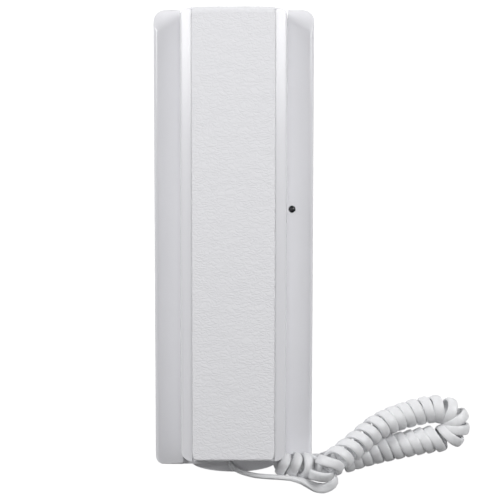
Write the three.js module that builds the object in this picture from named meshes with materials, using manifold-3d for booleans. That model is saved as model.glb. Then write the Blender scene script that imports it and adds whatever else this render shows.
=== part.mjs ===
// Slim wall intercom phone: a cradle base with two side wings, a handset that covers the
// whole length of the base, and the curly cord between them.
//
// Millimetres. The phone lies on its back. The origin is the middle of the wall face,
// +X points right, +Y to the earpiece end and +Z out of the wall.

import * as THREE from 'three';
import { mergeVertices } from 'three/addons/utils/BufferGeometryUtils.js';
import Module from 'manifold-3d';

const wasm = await Module();
wasm.setup();

// ---------------------------------------------------------------- driving dimensions

const CLEARANCE = 0.3;            // between pieces that touch or slide
const WALL = 2.2;                 // moulded outer walls of the base
const FLOOR = 2.0;                // moulded floors and the handset's walls

const BASE_LENGTH = 216.4;
const BASE_WIDTH = 76.8;          // at the earpiece end
const NARROWING = 0.035;          // share of every width that is lost at the other end
const WING_HEIGHT = 20;           // inner edge of a wing above the wall
const WING_FALL = 0.6;            // the wing's face drops this much to its outer edge
const WING_EDGE = 2.4;            // rounding along a wing's outer edge
const CROWN_LENGTH = 6;           // crowned ends of the wings beside the earpiece, along Y
const CROWN_HEIGHT = 7;
const LOW_ROUND = 1.2;            // rounding of the wings' other ends
const TOP_CORNER = 4.8;           // plan radius of the outer corners
const LOW_CORNER = 4.2;
const NOTCH_DEPTH = 5.6;          // finger notch between the wings at the earpiece end
const FLARE = 1.1;                // the wings spread apart towards the notch
const FLARE_LENGTH = 24;

const CRADLE_FLOOR = 17.5;        // floor that the handset lies over
const WELL_DEPTH = 10;            // hollows that take the two cups of the handset
const WELL_OFFSET = 77;           // from the middle to the centre of each well
const CHIN_WIDTH = 42;            // rounded chin below the mouthpiece
const CHIN_REACH = 4.1;           // beyond the end of the wings
const CHIN_DEPTH = 5;             // from its centre line to its tip
const CHIN_TOP = 13;
const CHIN_BOTTOM = 1;

const HANDSET_WIDTH = 50.4;       // at the earpiece end
const HANDSET_TOP = 106.9;        // its two ends along Y
const HANDSET_LOW = -105.4;
const HANDSET_THICKNESS = 23.5;
const HANDSET_TOP_CORNER = 3;
const HANDSET_LOW_CORNER = 5;
const SIDE_RELIEF = 0.75;         // the handset's sides step in where they pass the wings
const SIDE_GAP = 0.35;            // between the stepped sides and each wing
const GRIP_GAP = 0.8;             // between the grip and the cradle floor
const SEAM_HEIGHT = 13;           // seam of the two handset shells above the grip's back
const STRIP_FALL = 2.4;           // the sloping strips beside the panel
const STRIP_EDGE = 1.3;
const TOP_ROUND = 3.2;            // rounding of the front's earpiece end
const CHIN_ROUND = 1.2;           // and of its other end, over the chin
const BACK_ROUND = 2.4;           // rounding of the handset's rear edges
const CUP_WIDTH = 41;
const CUP_LENGTH = 37;
const CUP_CORNER = 14;
const CUP_GAP = 1.2;              // around a cup in its well

const PANEL_WIDTH = 39.2;
const PANEL_THICKNESS = 1;
const PANEL_PROUD = 0.7;          // above the inner edge of the strips
const PANEL_CORNER = 2.8;

const PLATE_THICKNESS = 2.4;
const STANDOFF = 1.9;             // circuit board above the wall plate
const BOARD_THICKNESS = 1.6;
const HOOK_Y = 36;                // centre of the hook plunger
const HOOK_TRAVEL = 3.5;
const LENS_X = 28.1;              // indicator in the right wing
const LENS_Y = 12.7;
const LENS_DIAMETER = 3.1;

const CORD_WIDTH = 4.8;           // flat-oval cord
const CORD_HEIGHT = 2.4;
const CURL_DIAMETER = 12.2;       // outside of its turns

// ---------------------------------------------------------------- derived levels

const HALF_LENGTH = BASE_LENGTH / 2;
const HALF_WIDTH = BASE_WIDTH / 2;
const CHANNEL_HALF = HANDSET_WIDTH / 2 - SIDE_RELIEF + SIDE_GAP;
const WELL_FLOOR = CRADLE_FLOOR - WELL_DEPTH;
const GRIP_BACK = CRADLE_FLOOR + GRIP_GAP;
const CUP_BACK = WELL_FLOOR + CLEARANCE;
const SEAM = GRIP_BACK + SEAM_HEIGHT;
const HANDSET_FRONT = GRIP_BACK + HANDSET_THICKNESS;
const STRIP_TOP = HANDSET_FRONT - PANEL_PROUD;
const PANEL_BACK = HANDSET_FRONT - PANEL_THICKNESS;
const RECESS_FLOOR = PANEL_BACK - CLEARANCE;
const SHELL_CEILING = RECESS_FLOOR - FLOOR;
const PLATE_INSET = WALL + CLEARANCE;
const BOARD_BACK = PLATE_THICKNESS + STANDOFF + CLEARANCE;
const BOARD_FRONT = BOARD_BACK + BOARD_THICKNESS;
const ON_BOARD = BOARD_FRONT + CLEARANCE;
const CUP_FLOOR = CUP_BACK + FLOOR;

// ---------------------------------------------------------------- solid tools

const AXIS = {
  x: new THREE.Vector3(1, 0, 0),
  y: new THREE.Vector3(0, 1, 0),
  z: new THREE.Vector3(0, 0, 1),
};

function solidOf(geometry) {
  geometry.deleteAttribute('normal');
  geometry.deleteAttribute('uv');
  const merged = mergeVertices(geometry, 1e-4);
  const corners = merged.index.array;
  const kept = [];
  for (let i = 0; i < corners.length; i += 3) {
    const [a, b, c] = corners.slice(i, i + 3);
    if (a !== b && b !== c && c !== a) kept.push(a, b, c);
  }
  return new wasm.Manifold(new wasm.Mesh({
    numProp: 3,
    vertProperties: merged.attributes.position.array,
    triVerts: Uint32Array.from(kept),
  }));
}

function geometryOf(solid) {
  const mesh = solid.getMesh();
  const geometry = new THREE.BufferGeometry();
  geometry.setAttribute('position', new THREE.BufferAttribute(mesh.vertProperties, 3));
  geometry.setIndex(new THREE.BufferAttribute(mesh.triVerts, 1));
  return geometry;
}

// How finely rounded corners and edges are cut, outside and inside the mouldings.
const OUTSIDE = { corner: 4, rounding: 3 };
const INSIDE = { corner: 2, rounding: 1 };

function union(solids) {
  return solids.reduce((all, one) => all.add(one));
}

// A closed outline in plan, from low to high along its second axis.
function roundedOutline(width, low, high, lowRadius, highRadius = lowRadius) {
  const half = width / 2;
  const shape = new THREE.Shape();
  shape.moveTo(-half + lowRadius, low);
  shape.lineTo(half - lowRadius, low);
  shape.absarc(half - lowRadius, low + lowRadius, lowRadius, -Math.PI / 2, 0, false);
  shape.lineTo(half, high - highRadius);
  shape.absarc(half - highRadius, high - highRadius, highRadius, 0, Math.PI / 2, false);
  shape.lineTo(-half + highRadius, high);
  shape.absarc(-half + highRadius, high - highRadius, highRadius, Math.PI / 2, Math.PI, false);
  shape.lineTo(-half, low + lowRadius);
  shape.absarc(-half + lowRadius, low + lowRadius, lowRadius, Math.PI, Math.PI * 1.5, false);
  return shape;
}

function polygon(points) {
  return new THREE.Shape(points.map(([u, v]) => new THREE.Vector2(u, v)));
}

// A plan outline raised from one level to another.
function prism(shape, from, to, curveSegments = 4) {
  const settings = { depth: to - from, bevelEnabled: false, curveSegments };
  return solidOf(new THREE.ExtrudeGeometry(shape, settings).translate(0, 0, from));
}

// A section in X and Z drawn along Y.
function alongLength(section, from, to, curveSegments = 5) {
  const settings = { depth: to - from, bevelEnabled: false, curveSegments };
  const geometry = new THREE.ExtrudeGeometry(section, settings);
  const turn = new THREE.Matrix4().makeBasis(AXIS.x, AXIS.z, AXIS.y.clone().negate());
  return solidOf(geometry.applyMatrix4(turn).translate(0, to, 0));
}

// A profile in Y and Z drawn along X, centred on X = 0.
function acrossWidth(profile, width, curveSegments = 6) {
  const settings = { depth: width, bevelEnabled: false, curveSegments };
  const geometry = new THREE.ExtrudeGeometry(profile, settings);
  const turn = new THREE.Matrix4().makeBasis(AXIS.y, AXIS.z, AXIS.x);
  return solidOf(geometry.applyMatrix4(turn).translate(-width / 2, 0, 0));
}

// A plan outline whose edges at both levels are rounded inwards.
function pillow(shape, from, to, roundPlan, roundHeight, facets = OUTSIDE) {
  const settings = {
    depth: to - from - 2 * roundHeight,
    bevelSize: roundPlan,
    bevelOffset: -roundPlan,
    bevelThickness: roundHeight,
    bevelSegments: facets.rounding,
    curveSegments: facets.corner,
  };
  return solidOf(new THREE.ExtrudeGeometry(shape, settings).translate(0, 0, from + roundHeight));
}

function block(width, length, height, x, y, z) {
  return solidOf(new THREE.BoxGeometry(width, length, height).translate(x, y, z + height / 2));
}

function post(radius, from, to, x = 0, y = 0, sides = 20) {
  const geometry = new THREE.CylinderGeometry(radius, radius, to - from, sides);
  return solidOf(geometry.rotateX(Math.PI / 2).translate(x, y, (from + to) / 2));
}

// A profile of [radius, height] pairs turned about Z, closed on itself or on the axis.
function turned(profile, x = 0, y = 0, sides = 20) {
  const points = profile.map(([radius, height]) => new THREE.Vector2(radius, height));
  const geometry = new THREE.LatheGeometry(points, sides);
  return solidOf(geometry.rotateX(Math.PI / 2).translate(x, y, 0));
}

// The mouldings get narrower towards the mouthpiece end.
function narrowedX(x, y) {
  return x * (1 - NARROWING * (0.5 - y / BASE_LENGTH));
}

function narrowed(solid) {
  const geometry = geometryOf(solid);
  const position = geometry.attributes.position;
  for (let i = 0; i < position.count; i += 1) {
    position.setX(i, narrowedX(position.getX(i), position.getY(i)));
  }
  return solidOf(geometry);
}

// ---------------------------------------------------------------- materials and scene

function finish(color, roughness, metalness = 0) {
  return new THREE.MeshStandardMaterial({ color, roughness, metalness });
}

const paint = {
  white: () => finish(0xe6e6ea, 0.32),
  grained: () => finish(0xdedee3, 0.55),
  cord: () => finish(0xdcdde0, 0.38),
  lens: () => finish(0x33353a, 0.15),
  board: () => finish(0x2f6b3c, 0.5),
  black: () => finish(0x1d1d20, 0.5),
  blue: () => finish(0x2f5f9e, 0.45),
  rubber: () => finish(0x2b2b2d, 0.8),
  foam: () => finish(0x44464a, 0.95),
  steel: () => finish(0xb9bcc0, 0.35, 0.9),
  brass: () => finish(0xc2a15a, 0.35, 0.9),
};

const phone = new THREE.Group();

function addPart(name, solid, material) {
  const mesh = new THREE.Mesh(geometryOf(solid), material);
  mesh.name = name;
  phone.add(mesh);
}

// ---------------------------------------------------------------- base housing

// Plan of the base, drawn in by an inset.
function basePlan(inset, from, to, facets) {
  const outline = roundedOutline(
    BASE_WIDTH - 2 * inset,
    -HALF_LENGTH + inset,
    HALF_LENGTH - inset,
    LOW_CORNER - inset / 2,
    TOP_CORNER - inset / 2,
  );
  return prism(outline, from, to, facets.corner);
}

// Side profile of the winged body: square at the earpiece end, rounded at the other.
function lowEndProfile(inset, from, top) {
  const low = -HALF_LENGTH + inset;
  const profile = new THREE.Shape();
  profile.moveTo(low, from);
  profile.lineTo(BASE_LENGTH, from);
  profile.lineTo(BASE_LENGTH, top);
  profile.lineTo(low + LOW_ROUND, top);
  profile.quadraticCurveTo(low, top, low, top - LOW_ROUND);
  return profile;
}

// The winged body: its plan, the section with rounded outer edges, and its two ends.
function wingedBody(inset, from, facets = INSIDE) {
  const half = HALF_WIDTH - inset;
  const top = WING_HEIGHT - inset;
  const edge = top - WING_FALL;
  const section = new THREE.Shape();
  section.moveTo(-half, from);
  section.lineTo(half, from);
  section.lineTo(half, edge - WING_EDGE);
  section.quadraticCurveTo(half, edge, half - WING_EDGE, edge);
  section.lineTo(CHANNEL_HALF, top);
  section.lineTo(-CHANNEL_HALF, top);
  section.lineTo(-half + WING_EDGE, edge);
  section.quadraticCurveTo(-half, edge, -half, edge - WING_EDGE);
  const crown = roundedOutline(
    BASE_WIDTH + 2 * WING_EDGE - 2 * inset,
    -BASE_LENGTH,
    HALF_LENGTH - inset,
    CROWN_LENGTH + 4,
  );
  const below = from - 2 * CROWN_HEIGHT;
  return basePlan(inset, from, WING_HEIGHT, facets)
    .intersect(alongLength(section, -BASE_LENGTH, BASE_LENGTH, facets.corner))
    .intersect(acrossWidth(lowEndProfile(inset, from, top), 2 * BASE_WIDTH, facets.rounding))
    .intersect(pillow(crown, below, top, CROWN_LENGTH, CROWN_HEIGHT, facets));
}

// The bowl of the chin, drawn in by an inset.
function chinBowl(inset, facets = INSIDE) {
  const profile = [];
  const steps = 2 * facets.rounding;
  const top = CHIN_TOP - inset;
  const depth = CHIN_TOP - CHIN_BOTTOM - 2 * inset;
  for (let i = 0; i <= steps; i += 1) {
    const angle = (i / steps) * (Math.PI / 2);
    profile.push([Math.sin(angle), top - depth * Math.cos(angle)]);
  }
  profile.push([0, top]);
  const points = profile.map(([radius, height]) => new THREE.Vector2(radius, height));
  const geometry = new THREE.LatheGeometry(points, 8 * facets.corner).rotateX(Math.PI / 2);
  geometry.scale(CHIN_WIDTH / 2 - inset, CHIN_DEPTH - inset, 1);
  return solidOf(geometry.translate(0, -HALF_LENGTH - CHIN_REACH + CHIN_DEPTH, 0));
}

// The channel between the wings, which flares towards the notch at the earpiece end.
function channel(grow) {
  const half = CHANNEL_HALF + grow;
  const notch = HALF_LENGTH - NOTCH_DEPTH - grow;
  const start = HALF_LENGTH - FLARE_LENGTH;
  const end = HALF_LENGTH + 1;
  const plan = polygon([
    [-half, -BASE_LENGTH],
    [half, -BASE_LENGTH],
    [half, start],
    [half + FLARE, end],
    [-half - FLARE, end],
    [-half, start],
  ]);
  const beyond = block(BASE_WIDTH, NOTCH_DEPTH + grow + 2, 4 * WING_HEIGHT, 0, 0, -WING_HEIGHT)
    .translate([0, notch + (NOTCH_DEPTH + grow + 2) / 2, 0]);
  return prism(plan, CRADLE_FLOOR - grow, 2 * WING_HEIGHT)
    .add(prism(plan, -WING_HEIGHT, 2 * WING_HEIGHT).intersect(beyond));
}

function wells(grow) {
  const gap = CUP_GAP + grow;
  return union([-WELL_OFFSET, WELL_OFFSET].map((centre) => {
    const outline = roundedOutline(
      CUP_WIDTH + 2 * gap,
      centre - CUP_LENGTH / 2 - gap,
      centre + CUP_LENGTH / 2 + gap,
      CUP_CORNER + gap,
    );
    return prism(outline, WELL_FLOOR - grow, WING_HEIGHT + 1);
  }));
}

const BOSS_RADIUS = 3.2;
const BOSS_INSET = 20;            // from the ends of the wings
const SCREW_BORE = 1.5;
const BOSS_X = (CHANNEL_HALF + WALL + HALF_WIDTH - WALL) / 2;
const BOSS_Y = HALF_LENGTH - BOSS_INSET;
const BOSS_SPOTS = [[-1, -1], [1, -1], [-1, 1], [1, 1]].map(([i, j]) => [i * BOSS_X, j * BOSS_Y]);
const SCREW_DEPTH = 9;

const HOOK_WIDTH = 11;
const HOOK_LENGTH = 6.4;
const HOOK_GAP = 0.4;

const GROMMET_X = 24.3;           // where the cord enters the base
const GROMMET_Z = 7.7;
const EXIT_X = -1.5;              // where it leaves the handset
const EXIT_Z = GRIP_BACK + 7.9;
const NECK_WIDTH = CORD_WIDTH + 1.8;
const NECK_HEIGHT = CORD_HEIGHT + 1.8;

const RINGER_X = -12;
const RINGER_Y = 19;

// An upright oblong in X and Z drawn along Y, for grommets and their holes.
function oblong(width, height, x, z, from, to) {
  const corner = Math.min(width, height) / 2 - 0.01;
  const outline = roundedOutline(width, -height / 2, height / 2, corner);
  return alongLength(outline, from, to, 3).translate([x, 0, z]);
}

function makeHousing() {
  const shell = wingedBody(0, 0, OUTSIDE)
    .add(chinBowl(0, OUTSIDE))
    .subtract(channel(0))
    .subtract(wells(0));
  const hollow = wingedBody(WALL, -1)
    .add(chinBowl(FLOOR))
    .subtract(channel(FLOOR))
    .subtract(wells(FLOOR));
  const bosses = union(BOSS_SPOTS.map(([x, y]) => post(BOSS_RADIUS, 0, WING_HEIGHT, x, y, 14)));
  const bossFoot = PLATE_THICKNESS + CLEARANCE;
  const kept = bosses.subtract(block(BASE_WIDTH, BASE_LENGTH, bossFoot, 0, 0, 0));
  const bores = union(BOSS_SPOTS.map(([x, y]) => (
    post(SCREW_BORE, -1, bossFoot + SCREW_DEPTH, x, y, 10))));
  const hookHole = prism(roundedOutline(
    HOOK_WIDTH + 2 * HOOK_GAP,
    HOOK_Y - HOOK_LENGTH / 2 - HOOK_GAP,
    HOOK_Y + HOOK_LENGTH / 2 + HOOK_GAP,
    2,
  ), 0, WING_HEIGHT);
  const lensHole = post(LENS_DIAMETER / 2 + 0.2, 0, WING_HEIGHT + 1, LENS_X, LENS_Y);
  const soundSlots = union([-1, 0, 1].map((i) => (
    block(10, 1.8, WING_HEIGHT, RINGER_X, RINGER_Y + 4 * i, 0))));
  const cordHole = oblong(
    NECK_WIDTH + 2 * CLEARANCE,
    NECK_HEIGHT + 2 * CLEARANCE,
    GROMMET_X,
    GROMMET_Z,
    -HALF_LENGTH - 1,
    -HALF_LENGTH + WALL + 1,
  );
  return shell
    .subtract(hollow.subtract(kept))
    .subtract(bores)
    .subtract(hookHole)
    .subtract(lensHole)
    .subtract(soundSlots)
    .subtract(cordHole);
}

addPart('base_housing', narrowed(makeHousing()), paint.white());

// ---------------------------------------------------------------- wall plate

const KEYHOLE_Y = 64;
const KEYHOLE_HEAD = 4.3;
const KEYHOLE_SLOT = 2.2;
const KEYHOLE_RUN = 9;
const WINDOW_WIDTH = 26;
const WINDOW_LENGTH = 16;
const WINDOW_Y = -34;
const RIM_HEIGHT = 2;
const RIM_WIDTH = 1.4;
const BOARD_SPOTS = [[-20, -9], [-20, 46], [19, 46]];
const BOARD_BORE = 1.3;

function makeWallPlate() {
  const inner = BASE_WIDTH / 2 - PLATE_INSET;
  const above = block(
    2 * BASE_WIDTH,
    2 * BASE_LENGTH,
    WING_HEIGHT,
    0,
    0,
    PLATE_THICKNESS + RIM_HEIGHT,
  );
  let plate = wingedBody(PLATE_INSET, 0)
    .subtract(wingedBody(PLATE_INSET + RIM_WIDTH, PLATE_THICKNESS))
    .subtract(above);
  for (const [x, y] of BOARD_SPOTS) {
    plate = plate.add(post(3, PLATE_THICKNESS - 1, PLATE_THICKNESS + STANDOFF, x, y, 14));
    plate = plate.subtract(post(BOARD_BORE, -1, BOARD_FRONT, x, y, 10));
  }
  const cornerCut = channel(FLOOR + CLEARANCE);
  plate = plate.subtract(cornerCut);
  for (const [x, y] of BOSS_SPOTS) {
    const clear = BOSS_RADIUS + CLEARANCE;
    plate = plate.subtract(post(clear, PLATE_THICKNESS, WING_HEIGHT, x, y, 14));
    plate = plate.subtract(post(SCREW_BORE + 0.2, -1, WING_HEIGHT, x, y, 10));
    plate = plate.subtract(post(3.1, -1, 1.3, x, y, 14));
  }
  const well = wells(FLOOR + CLEARANCE);
  plate = plate.subtract(well);
  for (const y of [-KEYHOLE_Y, KEYHOLE_Y]) {
    const slot = prism(roundedOutline(
      2 * KEYHOLE_SLOT,
      y,
      y + KEYHOLE_RUN,
      KEYHOLE_SLOT - 0.01,
    ), -1, WING_HEIGHT);
    plate = plate.subtract(slot).subtract(post(KEYHOLE_HEAD, -1, WING_HEIGHT, 0, y));
  }
  const window = prism(roundedOutline(
    WINDOW_WIDTH,
    WINDOW_Y - WINDOW_LENGTH / 2,
    WINDOW_Y + WINDOW_LENGTH / 2,
    3,
  ), -1, WING_HEIGHT);
  const grommetRoom = block(
    NECK_WIDTH + 4,
    8,
    WING_HEIGHT,
    GROMMET_X,
    -HALF_LENGTH + PLATE_INSET,
    PLATE_THICKNESS,
  );
  const ribs = union([-1, 1].map((side) => (
    block(1.6, 96, 1.6, side * (inner - 9), 0, PLATE_THICKNESS - 0.4))));
  return plate.add(ribs).subtract(window).subtract(grommetRoom);
}

addPart('wall_plate', narrowed(makeWallPlate()), paint.white());

// ---------------------------------------------------------------- screws

// A pan-head screw that points along +Z, with its head at the bottom and a driver slot.
function screw(headRadius, headHeight, shankRadius, length) {
  const rim = headHeight * 0.55;
  const profile = [
    [0, 0],
    [headRadius * 0.7, 0],
    [headRadius, headHeight - rim],
    [headRadius, headHeight],
    [shankRadius, headHeight],
    [shankRadius, headHeight + length - shankRadius],
    [0.01, headHeight + length],
    [0, headHeight + length],
  ];
  const body = turned(profile, 0, 0, 10);
  const recess = headHeight * 0.5;
  return body.subtract(block(headRadius * 1.3, headRadius * 0.3, recess + 1, 0, 0, -1));
}

const housingScrew = screw(2.7, 1.1, SCREW_BORE - CLEARANCE, 10);
BOSS_SPOTS.forEach(([x, y], i) => {
  addPart(`housing_screw_${i + 1}`, housingScrew.translate([narrowedX(x, y), y, 0.1]), paint.steel());
});

const boardScrew = screw(2.3, 1.4, BOARD_BORE - CLEARANCE, 5).rotate([180, 0, 0]);
BOARD_SPOTS.forEach(([x, y], i) => {
  const level = BOARD_FRONT + CLEARANCE + 1.4;
  addPart(`board_screw_${i + 1}`, boardScrew.translate([narrowedX(x, y), y, level]), paint.steel());
});

// ---------------------------------------------------------------- circuit board and its parts

const BOARD_LOW = -14;
const BOARD_TOP = 52;
const BOARD_HALF = 24;
const EAR_X = 31.2;
const EAR_REACH = 7;

function makeBoard() {
  const outline = polygon([
    [-BOARD_HALF, BOARD_LOW],
    [BOARD_HALF, BOARD_LOW],
    [BOARD_HALF, LENS_Y - EAR_REACH],
    [EAR_X, LENS_Y - EAR_REACH],
    [EAR_X, LENS_Y + EAR_REACH],
    [BOARD_HALF, LENS_Y + EAR_REACH],
    [BOARD_HALF, BOARD_TOP],
    [-BOARD_HALF, BOARD_TOP],
  ]);
  const holes = union(BOARD_SPOTS.map(([x, y]) => (
    post(BOARD_BORE + 0.2, 0, WING_HEIGHT, narrowedX(x, y), y, 14))));
  return prism(outline, BOARD_BACK, BOARD_FRONT).subtract(holes);
}

addPart('circuit_board', makeBoard(), paint.board());

const TERMINALS = 4;
const TERMINAL_PITCH = 5;
const TERMINAL_Y = -8.2;
const TERMINAL_DEPTH = 9;
const TERMINAL_HEIGHT = 8.4;

function terminalX(i) {
  return (i - (TERMINALS - 1) / 2) * TERMINAL_PITCH;
}

function makeTerminalBlock() {
  const top = ON_BOARD + TERMINAL_HEIGHT;
  const low = TERMINAL_Y - TERMINAL_DEPTH / 2;
  const width = TERMINALS * TERMINAL_PITCH + 1;
  const profile = polygon([
    [low, ON_BOARD],
    [low + TERMINAL_DEPTH, ON_BOARD],
    [low + TERMINAL_DEPTH, top - 2.4],
    [low + TERMINAL_DEPTH - 1.6, top],
    [low + 1.4, top],
    [low, top - 2.4],
  ]);
  let body = acrossWidth(profile, width);
  for (let i = 0; i < TERMINALS; i += 1) {
    body = body.subtract(block(2.8, 5, 2.6, terminalX(i), low, ON_BOARD + 1.2));
    body = body.subtract(post(1.9, top - 2.6, top + 1, terminalX(i), TERMINAL_Y, 16));
  }
  return body;
}

addPart('terminal_block', makeTerminalBlock(), paint.blue());

for (let i = 0; i < TERMINALS; i += 1) {
  const floor = ON_BOARD + TERMINAL_HEIGHT - 2.6 + CLEARANCE;
  const head = post(1.6, floor, floor + 1.7, terminalX(i), TERMINAL_Y, 16);
  const slot = block(3.6, 0.5, 1, terminalX(i), TERMINAL_Y, floor + 1);
  addPart(`terminal_screw_${i + 1}`, head.subtract(slot), paint.brass());
}

const RINGER_RADIUS = 8.5;
const RINGER_HEIGHT = 6;
const RINGER_PORT = 1.2;
const RINGER_CHAMFER = 0.6;
const ringerTop = ON_BOARD + RINGER_HEIGHT;
const ringer = turned([
  [0, ON_BOARD],
  [RINGER_RADIUS, ON_BOARD],
  [RINGER_RADIUS, ringerTop - RINGER_CHAMFER],
  [RINGER_RADIUS - RINGER_CHAMFER, ringerTop],
  [RINGER_PORT, ringerTop],
  [RINGER_PORT, ringerTop - RINGER_PORT],
  [0, ringerTop - RINGER_PORT],
], RINGER_X, RINGER_Y);
addPart('ringer_sounder', ringer, paint.black());

const CAPACITOR_RADIUS = 3.9;
const CAPACITOR_HEIGHT = 8;
const CRIMP = 0.4;                // depth of the groove round the capacitor's can
const capacitorTop = ON_BOARD + CAPACITOR_HEIGHT;
const capacitor = turned([
  [0, ON_BOARD],
  [CAPACITOR_RADIUS, ON_BOARD],
  [CAPACITOR_RADIUS, ON_BOARD + 2 * CRIMP],
  [CAPACITOR_RADIUS - CRIMP, ON_BOARD + 3 * CRIMP],
  [CAPACITOR_RADIUS, ON_BOARD + 4 * CRIMP],
  [CAPACITOR_RADIUS, capacitorTop - CRIMP],
  [CAPACITOR_RADIUS - CRIMP, capacitorTop],
  [0, capacitorTop],
], RINGER_X, HOOK_Y + 5);
addPart('storage_capacitor', capacitor, paint.black());

const TRANSFORMER = { width: 15, length: 12.5, height: 8, x: 8, y: 12 };
const core = block(
  TRANSFORMER.width,
  TRANSFORMER.length * 0.55,
  TRANSFORMER.height,
  TRANSFORMER.x,
  TRANSFORMER.y,
  ON_BOARD,
);
const winding = block(
  TRANSFORMER.width * 0.6,
  TRANSFORMER.length,
  TRANSFORMER.height - 1.6,
  TRANSFORMER.x,
  TRANSFORMER.y,
  ON_BOARD + 0.8,
);
addPart('speech_transformer', core.add(winding), paint.steel());

// ---------------------------------------------------------------- indicator

const lensX = narrowedX(LENS_X, LENS_Y);
const LED_HEIGHT = 1.7;
addPart('indicator_led', block(3, 3.4, LED_HEIGHT, lensX, LENS_Y, ON_BOARD), paint.white());

const lensTop = WING_HEIGHT - 0.1;
const lens = turned([
  [0, ON_BOARD + LED_HEIGHT + CLEARANCE],
  [LENS_DIAMETER / 2 - 0.1, ON_BOARD + LED_HEIGHT + CLEARANCE],
  [LENS_DIAMETER / 2 - 0.1, lensTop - 0.4],
  [LENS_DIAMETER / 2 - 0.4, lensTop - 0.1],
  [0, lensTop],
], lensX, LENS_Y, 20);
addPart('indicator_lens', lens, paint.lens());

// ---------------------------------------------------------------- hook switch

const HOOK_TOP = GRIP_BACK - CLEARANCE;
const FLANGE_TOP = CRADLE_FLOOR - FLOOR - HOOK_TRAVEL - CLEARANCE;
const FLANGE_THICKNESS = 1.2;
const FLANGE_BACK = FLANGE_TOP - FLANGE_THICKNESS;
const STEM_RADIUS = 1.7;
const ARM_REACH = 12;

function makeHookPlunger() {
  const head = pillow(roundedOutline(
    HOOK_WIDTH,
    HOOK_Y - HOOK_LENGTH / 2,
    HOOK_Y + HOOK_LENGTH / 2,
    1.8,
  ), FLANGE_BACK, HOOK_TOP, 0.6, 0.6);
  const flange = prism(roundedOutline(
    HOOK_WIDTH + 4,
    HOOK_Y - HOOK_LENGTH / 2 - 2,
    HOOK_Y + HOOK_LENGTH / 2 + 2,
    2.4,
  ), FLANGE_BACK, FLANGE_TOP);
  const arm = block(ARM_REACH, 4.4, FLANGE_THICKNESS, ARM_REACH / 2 + 3.5, HOOK_Y, FLANGE_BACK);
  const stem = post(STEM_RADIUS, ON_BOARD + 0.6, FLANGE_BACK + 0.5, 0, HOOK_Y);
  return union([head, flange, arm, stem]);
}

addPart('hook_plunger', makeHookPlunger(), paint.white());

const SPRING_WIRE = 0.5;
const SPRING_RADIUS = 2.5;
const SPRING_TURNS = 4;

class Helix extends THREE.Curve {
  constructor(radius, low, high, turns) {
    super();
    this.radius = radius;
    this.low = low;
    this.high = high;
    this.turns = turns;
  }

  getPoint(t, target = new THREE.Vector3()) {
    const angle = t * this.turns * Math.PI * 2;
    const height = this.low + t * (this.high - this.low);
    return target.set(this.radius * Math.cos(angle), this.radius * Math.sin(angle), height);
  }
}

function roundSection(radius, sides) {
  const points = [];
  for (let i = 0; i < sides; i += 1) {
    const angle = (i / sides) * Math.PI * 2;
    points.push(new THREE.Vector2(radius * Math.cos(angle), radius * Math.sin(angle)));
  }
  return new THREE.Shape(points);
}

function tube(curve, diameter, steps, sides) {
  const settings = { steps, bevelEnabled: false, extrudePath: curve };
  return solidOf(new THREE.ExtrudeGeometry(roundSection(diameter / 2, sides), settings));
}

const springCurve = new Helix(
  SPRING_RADIUS,
  ON_BOARD + SPRING_WIRE / 2,
  FLANGE_BACK - CLEARANCE - SPRING_WIRE / 2,
  SPRING_TURNS,
);
const spring = tube(springCurve, SPRING_WIRE, SPRING_TURNS * 10, 5).translate([0, HOOK_Y, 0]);
addPart('hook_spring', spring, paint.steel());

const SWITCH_X = 12;
const SWITCH_TOP = FLANGE_BACK - CLEARANCE - 0.6;
const BUTTON_RADIUS = 1.2;
const BUTTON_LENGTH = 1.8;
const buttonTop = FLANGE_BACK - CLEARANCE;
const buttonWell = post(
  BUTTON_RADIUS + CLEARANCE,
  buttonTop - BUTTON_LENGTH - CLEARANCE,
  WING_HEIGHT,
  SWITCH_X,
  HOOK_Y,
);
const switchBody = block(5.8, 12.8, SWITCH_TOP - ON_BOARD, SWITCH_X, HOOK_Y, ON_BOARD);
addPart('hook_switch', switchBody.subtract(buttonWell), paint.black());
addPart(
  'hook_switch_button',
  post(BUTTON_RADIUS, buttonTop - BUTTON_LENGTH, buttonTop, SWITCH_X, HOOK_Y, 14),
  paint.white(),
);

// ---------------------------------------------------------------- grommets

// A rubber bush: a neck flush with the outside of a wall and a flange behind it.
function grommet(width, height, x, z, outer, wall) {
  const behind = outer + wall + CLEARANCE;
  const neck = oblong(width, height, x, z, outer, behind + 0.5);
  const flange = oblong(width + 2.6, height + 2.6, x, z, behind, behind + 1.4);
  const bore = oblong(width - 1.3, height - 1.3, x, z, outer - 1, behind + 3);
  return neck.add(flange).subtract(bore);
}

const baseGrommetX = narrowedX(GROMMET_X, -HALF_LENGTH);
const exitX = narrowedX(EXIT_X, HANDSET_LOW);
addPart(
  'base_grommet',
  grommet(NECK_WIDTH, NECK_HEIGHT, baseGrommetX, GROMMET_Z, -HALF_LENGTH, WALL),
  paint.rubber(),
);
// The cord leaves the handset standing on its edge.
addPart(
  'handset_grommet',
  grommet(NECK_HEIGHT, NECK_WIDTH, exitX, EXIT_Z, HANDSET_LOW, FLOOR),
  paint.rubber(),
);

// ---------------------------------------------------------------- handset shells

function handsetPlan(inset) {
  return roundedOutline(
    HANDSET_WIDTH - 2 * inset,
    HANDSET_LOW + inset,
    HANDSET_TOP - inset,
    HANDSET_LOW_CORNER - inset / 2,
    HANDSET_TOP_CORNER - inset / 2,
  );
}

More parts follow.
